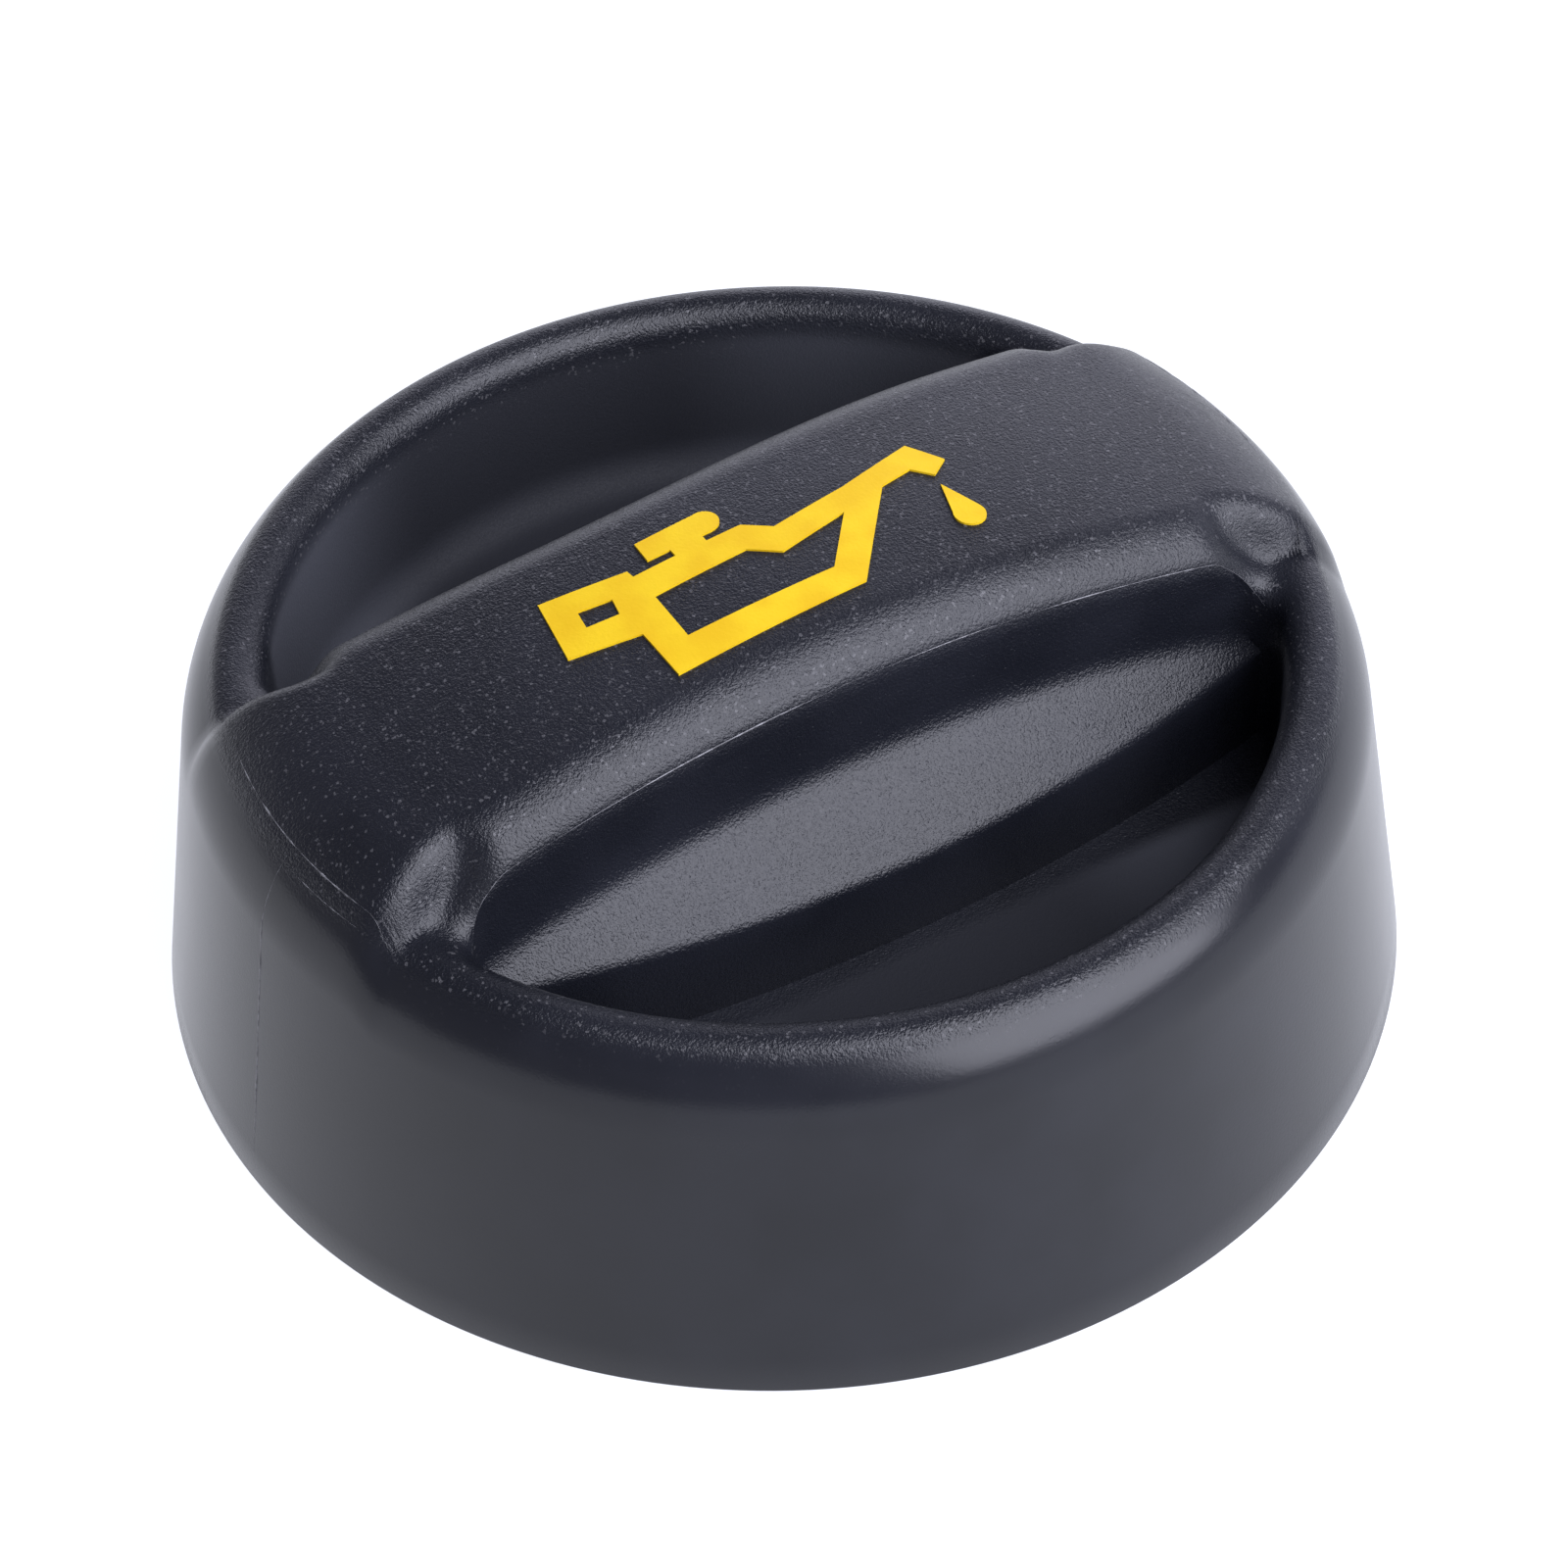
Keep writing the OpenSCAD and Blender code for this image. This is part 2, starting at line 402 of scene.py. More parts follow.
@dataclass(frozen=True)
class FlashEdge:
    """Thin pale flash and witness lines where the mould's halves meet."""

    name: str = "mould_flash"
    dull: Colour = (0.05, 0.05, 0.055, 1)
    pale: Colour = (0.22, 0.22, 0.235, 1)
    roughness: float = 0.42
    patch_mm: float = 0.5
    patch_rank: Span = (0.35, 0.65)

    def material(self) -> bpy.types.Material:
        """Builds the material.

        Returns:
            The material, pale in patches.
        """
        made, paint = new_material(self.name)
        patch = paint.noise(self.patch_mm, 2)
        shade = paint.blend(patch.ease(*self.patch_rank), self.dull, self.pale)
        paint.plastic({"Base Color": shade, "Roughness": self.roughness})
        return made


@dataclass(frozen=True)
class SealRubber:
    """Black nitrile rubber with a light bloom."""

    name: str = "seal_rubber"
    dark: Colour = (0.012, 0.012, 0.012, 1)
    bloomed: Colour = (0.03, 0.03, 0.029, 1)
    roughness: float = 0.5
    uneven: float = 0.2
    bloom_mm: float = 3.0
    bloom_rank: Span = (0.4, 0.75)
    grain_mm: float = 0.4
    grain_depth_mm: float = 0.01

    def material(self) -> bpy.types.Material:
        """Builds the material.

        Returns:
            The material, lighter and duller where it has bloomed.
        """
        made, paint = new_material(self.name)
        bloom = paint.noise(self.bloom_mm, 4)
        colour = paint.blend(bloom.ease(*self.bloom_rank), self.dark, self.bloomed)
        paint.plastic(
            {
                "Base Color": colour,
                "Roughness": self.roughness + self.uneven * (bloom - MEAN),
                "Normal": paint.bump(paint.noise(self.grain_mm, 3), self.grain_depth_mm),
            }
        )
        return made


@dataclass(frozen=True)
class YellowInk:
    """Satin yellow ink that lets a little of the mould's grain through."""

    name: str = "yellow_ink"
    deep: Colour = (0.67, 0.41, 0.003, 1)
    pale: Colour = (0.73, 0.49, 0.007, 1)
    roughness: float = 0.5
    uneven: float = 0.15
    specular: float = 0.3
    body_mm: float = 2.5
    body_rank: Span = (0.3, 0.7)
    grain_mm: float = 0.2
    grain_depth_mm: float = 0.012

    def material(self) -> bpy.types.Material:
        """Builds the material.

        Returns:
            The material, paler where the ink is thin.
        """
        made, paint = new_material(self.name)
        body = paint.noise(self.body_mm, 2)
        grain = paint.noise(self.grain_mm, 2)
        colour = paint.blend(body.ease(*self.body_rank), self.deep, self.pale)
        paint.plastic(
            {
                "Base Color": colour,
                "Roughness": self.roughness + self.uneven * (grain - MEAN),
                "Specular IOR Level": self.specular,
                "Normal": paint.bump(grain, self.grain_depth_mm),
            }
        )
        return made


def finish_mesh(
    name: str, bm: bmesh.types.BMesh, materials: Iterable[bpy.types.Material], sharp_deg: float
) -> bpy.types.Object:
    """Turns a bmesh in millimetres into an object in metres at the origin.

    Args:
        name: The piece's name.
        bm: The mesh, which is freed.
        materials: The materials, in slot order.
        sharp_deg: Edges that bend more than this show sharp.

    Returns:
        The object.
    """
    bmesh.ops.scale(bm, vec=(MM, MM, MM), verts=bm.verts)
    for face in bm.faces:
        face.smooth = True
    mesh = bpy.data.meshes.new(name)
    bm.to_mesh(mesh)
    bm.free()
    mesh.set_sharp_from_angle(angle=math.radians(sharp_deg))
    for material in materials:
        mesh.materials.append(material)
    piece = bpy.data.objects.new(name, mesh)
    bpy.context.scene.collection.objects.link(piece)
    return piece


def full_spin(bm: bmesh.types.BMesh, profile: list[Span], closed: bool, steps: int) -> None:
    """Spins a profile by a full turn about Z.

    Args:
        bm: The mesh.
        profile: Radius and height of each of its points.
        closed: Whether its last point is joined to its first.
        steps: Number of steps of the turn.
    """
    verts = [bm.verts.new((x, 0, z)) for x, z in profile]
    edges = [bm.edges.new(pair) for pair in zip(verts, verts[1:])]
    if closed:
        edges.append(bm.edges.new((verts[-1], verts[0])))
    bmesh.ops.spin(
        bm,
        geom=verts + edges,
        cent=(0, 0, 0),
        axis=(0, 0, 1),
        dvec=(0, 0, 0),
        angle=math.tau,
        steps=steps,
        use_merge=True,
    )


@dataclass
class CapSurface:
    """The outer surface of the moulding as heights over the foot plane, in millimetres."""

    # skirt, shoulder and rim
    foot_r: float = 32.0
    rim_h: float = 19.7
    draft: float = 8.1
    shoulder_r: float = 6.7
    crest_r: float = 1.5
    wall: float = 2.2
    # bar
    bar_h: float = 25.6
    crown_r: float = 109.0
    end_r: float = 8.0
    roll_r: float = 3.3
    roll_foot_deg: float = 28.0
    waist_half: float = 8.5
    waist_r: float = 309.0
    # pockets
    corner_at: float = 20.8
    corner_r: float = 1.7
    floor_z: float = 9.6
    floor_r: float = 2.0
    ledge_top: float = 18.4
    ledge_low: float = 14.4
    ledge_reach: float = 12.8
    ledge_bow: float = 99.0
    hollow_r: float = 2.0
    pocket_draft: float = 2.0
    # beyond the pockets' tips the bar's side leans outward and sinks into the rim: where it
    # starts across the bar at one place along it, and how far outward it runs per millimetre
    side_from: float = 5.5
    side_lean_at: float = 22.0
    side_lean: float = 0.37
    # radius of its small roll; where the roll ends and how far it drops, as shares of it; slope
    side_r: float = 1.7
    side_turn: float = 0.93
    side_drop: float = 0.632
    side_slope: float = 2.53
    # size of the hollow at the rim, and where along the bar the side sets in and is full
    side_hollow: float = 0.9
    side_start: float = 19.8
    side_full: float = 24.2

    def __post_init__(self) -> None:
        """Derives the arcs' centres, as the moulding's source does."""
        slant = math.sin(math.radians(45))
        lean = math.radians(self.draft)
        self.shoulder_z = self.rim_h - self.shoulder_r * slant - self.crest_r * (1 - slant)
        overhang = self.shoulder_r + self.shoulder_z * math.sin(lean)
        self.shoulder_x = self.foot_r - overhang / math.cos(lean)
        self.crest_x = self.shoulder_x + (self.shoulder_r - self.crest_r) * slant
        self.crest_z = self.shoulder_z + (self.shoulder_r - self.crest_r) * slant
        self.turn_x = self.shoulder_x + self.shoulder_r * slant
        self.turn_z = self.shoulder_z + self.shoulder_r * slant
        self.crown_z = self.bar_h - self.crown_r
        inset = self.foot_r * math.cos(lean) - self.end_r
        reach = inset - self.crown_z * math.sin(lean)
        rise = math.sqrt((self.crown_r - self.end_r) ** 2 - reach**2)
        rise += self.crown_z * math.cos(lean)
        self.end_x = inset * math.cos(lean) - rise * math.sin(lean)
        self.end_z = inset * math.sin(lean) + rise * math.cos(lean)
        self.end_turn_x = self.end_x + self.end_r * slant
        self.end_turn_z = self.end_z + self.end_r * slant
        apart = math.hypot(self.end_x, self.end_z - self.crown_z)
        self.split_r = self.crown_r * self.end_x / apart
        self.mouth_r = self.crest_x - self.crest_r
        reach = self.mouth_r - self.corner_r
        self.corner_y = self.flank(self.corner_at) + self.corner_r
        self.corner_x = math.sqrt(reach**2 - self.corner_y**2)
        self.tip_x = self.corner_x + self.corner_r
        self.corner_turn = math.atan2(self.corner_y, self.corner_x)
        self.outer_join_x = self.corner_x + self.corner_r * math.cos(self.corner_turn)

    def flank(self, x: float) -> float:
        """Half width of the bar at x."""
        return self.waist_half + x * x / (2 * self.waist_r)

    def bar_top(self, r: float) -> float:
        """Height of the bar's smooth crown.

        Args:
            r: Distance from the axis.

        Returns:
            The height, on the crown's arc or on the arc of its end.
        """
        if r <= self.split_r:
            return self.crown_z + math.sqrt(self.crown_r**2 - r * r)
        return self.end_z + math.sqrt(max(0.0, self.end_r**2 - (r - self.end_x) ** 2))

    def rim_top(self, r: float) -> float:
        """Height of the rim's crest at a radius, level on its inner side."""
        over = max(0.0, r - self.crest_x)
        return self.crest_z + math.sqrt(max(0.0, self.crest_r**2 - over * over))

    def end_side(self, bar: float, rim: float, along: float, across: float) -> float:
        """Height where the bar's rolled end meets the rim.

        Args:
            bar: Height of the bar's crown there.
            rim: Height of the rim there.
            along: Distance along the bar.
            across: Distance across the bar.

        Returns:
            The height, with a hollow between the two.
        """
        lean = min(max(along, self.tip_x), self.turn_x) - self.side_lean_at
        over = across - self.side_from - self.side_lean * lean
        turned = self.side_r * self.side_turn
        if over >= turned:
            drop = self.side_r * self.side_drop + self.side_slope * (over - turned)
        else:
            drop = self.side_r - math.sqrt(self.side_r**2 - max(0.0, over) ** 2)
        side = bar - drop
        near = max(0.0, self.side_hollow - abs(side - rim)) / self.side_hollow
        return min(bar, max(side, rim) + near * near * self.side_hollow / 4)

    def end_share(self, angle: float) -> float:
        """Tells the bar's end from the rim.

        Args:
            angle: Direction from the axis, in radians.

        Returns:
            1 on the bar's end and 0 on the rim.
        """
        across = abs(math.sin(angle)) * self.turn_x
        along = abs(math.cos(angle)) * self.turn_x
        height = self.end_side(self.end_turn_z, self.turn_z, along, across)
        return (height - self.turn_z) / (self.end_turn_z - self.turn_z)

    def ring_r(self, angle: float) -> float:
        """Radius at which the surface has turned by 45 degrees, in this direction."""
        return mix(self.turn_x, self.end_turn_x, self.end_share(angle))

    def shoulder(self, angle: float, turn: float) -> tuple[float, float]:
        """Point of the arc that runs down into the skirt.

        Args:
            angle: Direction from the axis, in radians.
            turn: Slope of the outward normal above level, in radians.

        Returns:
            Its radius and its height.
        """
        share = self.end_share(angle)
        size = mix(self.shoulder_r, self.end_r, share)
        r = mix(self.shoulder_x, self.end_x, share) + size * math.cos(turn)
        return r, mix(self.shoulder_z, self.end_z, share) + size * math.sin(turn)

    def top(self, x: float, y: float, rim_share: float = 0.0) -> float:
        """Height of the top skin, before the mouths' rolled edges.

        Args:
            x: Along the bar.
            y: Across the bar.
            rim_share: 1 where the point belongs to the rim and not to the bar.

        Returns:
            The height.
        """
        angle = math.atan2(y, x)
        edge = self.ring_r(angle)
        r = min(math.hypot(x, y), edge)
        near = smooth(r, self.side_start, edge)
        bar = self.bar_top(r - near * (edge - self.end_turn_x))
        rim = self.rim_top(r + near * (self.turn_x - edge))
        across = mix(abs(y), abs(math.sin(angle)) * self.turn_x, near)
        past = smooth(abs(x), self.side_start, self.side_full)
        share = 1 - (1 - past) * (1 - rim_share)
        along = mix(abs(x), abs(math.cos(angle)) * self.turn_x, near)
        return mix(bar, self.end_side(bar, rim, along, across), share)

    def mouth_in(self, x: float) -> float:
        """Edge of the pocket's mouth on the bar's side.

        Args:
            x: Along the bar.

        Returns:
            Its distance across the bar.
        """
        over = abs(x) - self.corner_x
        if over <= 0:
            return self.flank(x)
        return self.corner_y - math.sqrt(max(0.0, self.corner_r**2 - over * over))

    def mouth_out(self, x: float) -> float:
        """Edge of the pocket's mouth on the rim's side.

        Args:
            x: Along the bar.

        Returns:
            Its distance across the bar.
        """
        if abs(x) <= self.outer_join_x:
            return math.sqrt(self.mouth_r**2 - x * x)
        over = abs(x) - self.corner_x
        return self.corner_y + math.sqrt(max(0.0, self.corner_r**2 - over * over))

    def ledge_edge(self, x: float) -> float:
        """Reach of the finger ledge's lower edge at x."""
        return self.ledge_reach - self.ledge_bow + math.sqrt(self.ledge_bow**2 - x * x)

    def ledge_drop(self, x: float) -> float:
        """How much lower the ledge lies at x than at mid length."""
        return self.crown_r - math.sqrt(self.crown_r**2 - x * x)

    def ledge(self, x: float, y: float) -> float:
        """Height of the finger ledge's slope, with the hollow at the bar's side.

        Args:
            x: Along the bar.
            y: Across the bar.

        Returns:
            The height.
        """
        slope = (self.ledge_top - self.ledge_low) / (self.ledge_reach - self.flank(0))
        away = y - self.flank(x)
        straight = self.ledge_top - slope * away
        angle = math.atan(slope)
        span = self.hollow_r * (1 - math.sin(angle))
        if away < span:
            centre_z = self.ledge_top - self.hollow_r * slope + self.hollow_r / math.cos(angle)
            inside = self.hollow_r - away
            straight = centre_z - math.sqrt(max(0.0, self.hollow_r**2 - inside * inside))
        return straight - self.ledge_drop(x)


@dataclass
class Outline:
    """Points round one pocket's mouth, from the left tip along the bar and back along the rim."""

    surface: CapSurface
    corner_steps: int = 16
    bar_steps: int = 66
    # this many of a corner's spokes run to the centre line, from a little beyond the corner on
    line_steps: int = 5
    line_gap: float = 0.3
    xs: list[float] = field(init=False)

    def __post_init__(self) -> None:
        """Spaces the rows, close together at the tips."""
        s = self.surface
        right = [
            s.corner_x + s.corner_r * math.cos(math.radians(90 * i / self.corner_steps))
            for i in range(self.corner_steps)
        ]
        start = math.acos(s.corner_x / s.mouth_r)
        middle = [
            s.mouth_r * math.cos(mix(start, math.pi - start, i / self.bar_steps))
            for i in range(self.bar_steps + 1)
        ]
        self.xs = [-x for x in right] + [-x for x in middle] + [x for x in reversed(right)]

    @property
    def rows(self) -> int:
        """Number of intervals from tip to tip."""
        return len(self.xs) - 1

    @property
    def around(self) -> int:
        """Number of intervals round the mouth."""
        return 2 * self.rows

    @property
    def full_turn(self) -> int:
        """Number of intervals of the whole turn circle."""
        return 2 * (self.rows + 2 * (self.corner_steps - self.line_steps))

    def point(self, step: int) -> tuple[Vector, Vector, float]:
        """A point on the outline.

        Args:
            step: Which one, from 0 to around.

        Returns:
            The point, the direction away from the mouth, and how far round the corner towards
            the rim it lies, from 0 on the bar to 1 on the rim.
        """
        s = self.surface
        inner = step <= self.rows
        x = self.xs[step if inner else self.around - step]
        y = s.mouth_in(x) if inner else s.mouth_out(x)
        sign = -1 if x < 0 else 1
        centre = Vector((sign * s.corner_x, s.corner_y))
        if inner and abs(x) <= s.corner_x:
            return Vector((x, y)), Vector((x / s.waist_r, -1)).normalized(), 0.0
        if not inner and abs(x) <= s.outer_join_x:
            return Vector((x, y)), Vector((x, y)).normalized(), 1.0
        away = (Vector((x, y)) - centre).normalized()
        turn = math.asin(max(-1.0, min(1.0, away.y)))
        share = (turn + math.pi / 2) / (s.corner_turn + math.pi / 2)
        return Vector((x, y)), away, share

    def target(self, step: int) -> Vector:
        """Point on the centre line or on the turn circle that a spoke runs to.

        Args:
            step: Where the spoke starts, from 0 to around.

        Returns:
            The point.
        """
        s = self.surface
        corner, middle, rows = self.corner_steps, self.bar_steps, self.rows
        on_circle = corner - self.line_steps
        pitch = 360 / self.full_turn
        near = s.corner_x + self.line_gap
        if step > rows:
            a = math.radians(on_circle * pitch + (step - rows) * pitch)
            return s.ring_r(a) * Vector((math.cos(a), math.sin(a)))
        if corner <= step <= corner + middle:
            return Vector((self.xs[step] / s.corner_x * near, 0))
        tip_steps = step if step < corner else rows - step
        sign = -1 if step < corner else 1
        if tip_steps >= on_circle:
            share = (corner - tip_steps) / self.line_steps
            return Vector((sign * mix(near, s.end_turn_x, share), 0))
        a = math.radians((on_circle - tip_steps) * pitch)
        return s.ring_r(a) * Vector((sign * math.cos(a), math.sin(a)))


@dataclass(frozen=True)
class EndLine:
    """Flash across one end of the bar.

    The slope is that of the surface's normal above level where the line runs, the reach gives
    its two ends as distances across the bar, and the width is the ridge's widest half width.
    """

    turn_deg: float
    reach: Span
    width: float


@dataclass
class CapMoulding:
    """The black moulding: top skin, pockets, skirt, foot and the underside of the frame's solid."""

    surface: CapSurface = field(default_factory=CapSurface)
    nylon: MouldedNylon = field(default_factory=MouldedNylon)
    flash: FlashEdge = field(default_factory=FlashEdge)
    roll_steps: int = 9
    spoke_steps: int = 32
    side_steps: int = 24
    skirt_steps: int = 10
    wall_steps: int = 8
    edge_steps: int = 4
    # points closer than this are one, in millimetres, and sharper bends show as edges
    weld: float = 0.004
    mirror_weld: float = 0.003
    under_weld: float = 0.002
    sharp_deg: float = 24.0
    # how far round a mouth's corner the height and the roll's foot change to the rim's
    rim_share: Span = (0.35, 0.95)
    foot_share: Span = (0.1, 0.8)
    spoke_power: float = 1.2
    # the ledge's rounded edge: radius, its largest share of the width, and its shape
    ledge_r: float = 0.6
    ledge_r_share: float = 0.3
    ledge_reach_share: float = 0.98
    ledge_power: float = 1.5
    ledge_dip: float = 0.6
    ledge_fall: float = 0.7
    ledge_foot: float = 1.3
    flank_least: float = 0.3
    # the floor's fillet as a share of the half width, and the width with the whole draft
    fillet_share: float = 0.6
    draft_width: float = 3.0
    foot_edge: float = 0.12
    foot_gap: float = 0.12
    # height of a point inside the moulding, right above which its underside lies
    under_top: float = 22.0
    # the rear flank's move: where it sets in, fades out and stops, and from where to where
    rear_across: Span = (3.5, 7.0)
    rear_behind: Span = (10.0, 17.0)
    rear_within: Span = (23.5, 26.8)
    rear_along: Span = (-10.0, 15.0)
    rear_left: float = -0.5
    rear_right: float = 0.85
    # a thread of flash: sides, least half width, how it swells, and how proud and sunk it is
    thread_sides: int = 5
    thread_least: float = 0.004
    thread_wave: float = 0.17
    thread_mean: float = 0.5
    thread_swell: float = 1.1
    thread_proud: float = 0.7
    thread_sunk: float = 0.25
    end_lines: tuple[EndLine, ...] = (
        EndLine(45.5, (-5.6, 9.2), 0.075),
        EndLine(38.5, (1.9, 7.2), 0.03),
    )
    end_line_steps: int = 80
    # the line down the skirt: its direction, the slope it starts at and the height it ends at
    witness_deg: float = 3.4
    witness_turn_deg: float = 41.0
    witness_low: float = 1.2
    witness_width: float = 0.085
    mouth_line_width: float = 0.045
    mouth_line_from: int = 4

    def _grid(
        self, bm: bmesh.types.BMesh, across: int, along: int, place: Callable[[int, int], Vector]
    ) -> None:
        """Adds a grid and moves each of its points.

        Args:
            bm: The mesh.
            across: Number of intervals of the first index.
            along: Number of intervals of the second index.
            place: Gives the point for a pair of indices.
        """
        made = bmesh.ops.create_grid(bm, x_segments=across, y_segments=along, size=1)
        for vert in made["verts"]:
            i = round((vert.co.x + 1) / 2 * across)
            j = round((vert.co.y + 1) / 2 * along)
            vert.co = place(i, j)

    def _roll_point(self, outline: Outline, step: int, k: int) -> Vector:
        """Point of the rolled edge and of the skin outside it.

        Args:
            outline: The mouth's outline.
            step: Place on the outline.
            k: Place on the spoke, from 0 at the mouth.

        Returns:
            The point.
        """
        s = self.surface
        at, away, share = outline.point(step)
        radius = mix(s.roll_r, s.crest_r, smooth(share, 0, 1))
        rim = smooth(share, *self.rim_share)
        foot = math.radians(s.roll_foot_deg) * (1 - smooth(share, *self.foot_share))
        if k <= self.roll_steps:
            a = mix(foot, math.pi / 2, k / self.roll_steps)
            p = at + away * radius * (math.cos(foot) - math.cos(a))
            return Vector((p.x, p.y, s.top(p.x, p.y, rim) - radius * (1 - math.sin(a))))
        start = at + away * radius * math.cos(foot)
        ease = ((k - self.roll_steps) / self.spoke_steps) ** self.spoke_power
        p = start.lerp(outline.target(step), ease)
        return Vector((p.x, p.y, s.top(p.x, p.y, rim)))

    def _pocket_point(self, outline: Outline, row: int, column: int) -> Vector:
        """Point of the pocket's inside.

        Args:
            outline: The mouth's outline.
            row: Place along the bar, from the left tip.
            column: Place from the bar's side to the rim's.

        Returns:
            The point.
        """
        s = self.surface
        x = outline.xs[row]
        inner, outer = s.mouth_in(x), s.mouth_out(x)
        half = self.side_steps
        if column <= half:
            high = self._roll_point(outline, row, 0).z
        else:
            high = self._roll_point(outline, (outline.around - row) % outline.around, 0).z
        if row in (0, outline.rows):
            share = column / half if column <= half else 2 - column / half
            return Vector((x, inner, mix(high, s.floor_z, share)))
        middle = (inner + outer) / 2
        if column <= half:
            return self._bar_side(x, inner, middle, high, column)
        return self._rim_side(x, outer, middle, high, 2 * half - column)

    def _bar_side(self, x: float, inner: float, middle: float, high: float, column: int) -> Vector:
        """Point of the flank, hollow, ledge, drop or floor on the bar's side.

        Args:
            x: Along the bar.
            inner: Where the mouth's edge lies across the bar.
            middle: Where the pocket's middle lies across the bar.
            high: Height of the mouth's edge.
            column: Place from the edge to the middle.

        Returns:
            The point.
        """
        s = self.surface
        flank_n, ledge_n, edge_n, drop_n = 4, 10, 3, 4
        edge = min(max(s.ledge_edge(x), inner), mix(inner, middle, self.ledge_reach_share))
        width = edge - inner
        edge_round = min(self.ledge_r, width * self.ledge_r_share)
        top_z = min(s.ledge(x, inner + 1e-4), high - self.flank_least)
        if column <= flank_n:
            return Vector((x, inner, mix(high, top_z, column / flank_n)))
        column -= flank_n
        if column <= ledge_n:
            y = inner + (width - edge_round) * (column / ledge_n) ** self.ledge_power
            return Vector((x, y, min(s.ledge(x, y), top_z)))
        column -= ledge_n
        low = min(s.ledge(x, edge - edge_round), top_z)
        if column <= edge_n:
            a = math.radians(90 * column / edge_n)
            z = low - (edge_round * self.ledge_dip) * math.sin(a)
            z -= edge_round * self.ledge_fall * (1 - math.cos(a))
            return Vector((x, edge - edge_round * (1 - math.sin(a)), z))
        column -= edge_n
        foot = low - edge_round * self.ledge_foot
        if column <= drop_n:
            return Vector((x, edge, mix(foot, s.floor_z, column / drop_n)))
        column -= drop_n
        rest = self.side_steps - flank_n - ledge_n - edge_n - drop_n
        return Vector((x, mix(edge, middle, column / rest), s.floor_z))

    def _rim_side(self, x: float, outer: float, middle: float, high: float, column: int) -> Vector:
        """Point of the outer wall, its fillet or the floor on the rim's side.

        Args:
            x: Along the bar.
            outer: Where the mouth's edge lies across the bar.
            middle: Where the pocket's middle lies across the bar.
            high: Height of the mouth's edge.
            column: Place from the edge to the middle.

        Returns:
            The point.
        """
        s = self.surface
        wall_n, fillet_n = 8, 8
        lean = math.tan(math.radians(s.pocket_draft))
        half_width = outer - middle
        radius = min(s.floor_r, half_width * self.fillet_share)
        low = s.floor_z + radius
        foot = outer - (high - low) * lean * min(1.0, half_width / self.draft_width)
        if column <= wall_n:
            share = column / wall_n
            return Vector((x, mix(outer, foot, share), mix(high, low, share)))
        column -= wall_n
        if column <= fillet_n:
            a = math.radians(90 * column / fillet_n)
            return Vector((x, foot - radius * (1 - math.cos(a)), low - radius * math.sin(a)))
        column -= fillet_n
        rest = self.side_steps - wall_n - fillet_n
        return Vector((x, mix(foot - radius, middle, column / rest), s.floor_z))

    def _skirt(self, bm: bmesh.types.BMesh, steps: int) -> None:
        """Spins the shoulder, the leaning wall and the foot's outer edge.

        Args:
            bm: The mesh.
            steps: Number of steps of the full turn.
        """
        s = self.surface
        lean = math.radians(s.draft)
        profile = []
        for i in range(self.skirt_steps + 1):
            turn = mix(math.radians(45), lean, i / self.skirt_steps)
            r = s.shoulder_x + s.shoulder_r * math.cos(turn)
            profile.append((r, s.shoulder_z + s.shoulder_r * math.sin(turn)))
        x_top, z_top = profile[-1]
        edge = self.foot_edge
        x_low = s.foot_r - edge * math.tan(lean)
        for i in range(1, self.wall_steps + 1):
            share = i / self.wall_steps
            profile.append((mix(x_top, x_low, share), mix(z_top, edge, share)))
        for i in range(1, self.edge_steps + 1):
            a = math.radians(90 * i / self.edge_steps)
            profile.append((x_low - edge * (1 - math.cos(a)), edge * (1 - math.sin(a))))
        profile.append((s.foot_r - s.wall + self.foot_gap, 0.0))
        before = set(bm.verts)
        full_spin(bm, profile, closed=False, steps=steps)
        for vert in set(bm.verts) - before:
            if vert.co.z > z_top - 1e-4:
                angle = math.atan2(vert.co.y, vert.co.x)
                turn = math.atan2(vert.co.z - s.shoulder_z, vert.co.xy.length - s.shoulder_x)
                r, z = s.shoulder(angle, turn)
                vert.co = (r * math.cos(angle), r * math.sin(angle), z)

    def _underside(self, node: bpy.types.Object) -> bmesh.types.BMesh:
        """Copies what lies inside the foot from the frame's solid.

        Args:
            node: The frame's moulding.

        Returns:
            The mesh, in millimetres, open at the foot's inner edge.
        """
        under = bmesh.new()
        under.from_mesh(node.data)
        bmesh.ops.scale(under, vec=(1 / MM,) * 3, verts=under.verts)
        bmesh.ops.remove_doubles(under, verts=under.verts, dist=self.under_weld)
        foot = {f for f in under.faces if all(abs(v.co.z) < 0.01 for v in f.verts)}
        inside = Vector((0, 0, self.under_top))
        start = min(under.faces, key=lambda f: (f.calc_center_median() - inside).length)
        inner = {start}
        waiting = [start]
        while waiting:
            face = waiting.pop()
            for edge in face.edges:
                for other in edge.link_faces:
                    if other not in inner and other not in foot:
                        inner.add(other)
                        waiting.append(other)
        bmesh.ops.delete(under, geom=[f for f in under.faces if f not in inner], context="FACES")
        return under

    def _join_underside(self, bm: bmesh.types.BMesh, node: bpy.types.Object) -> None:
        """Adds the underside and closes the foot between it and the skirt.

        Args:
            bm: The mesh.
            node: The frame's moulding.
        """
        under = self._underside(node)
        mesh = bpy.data.meshes.new("underside")
        under.to_mesh(mesh)
        under.free()
        bm.from_mesh(mesh)
        bpy.data.meshes.remove(mesh)
        open_edges = [
            e for e in bm.edges if e.is_boundary and all(abs(v.co.z) < 0.02 for v in e.verts)
        ]
        bmesh.ops.bridge_loops(bm, edges=open_edges)

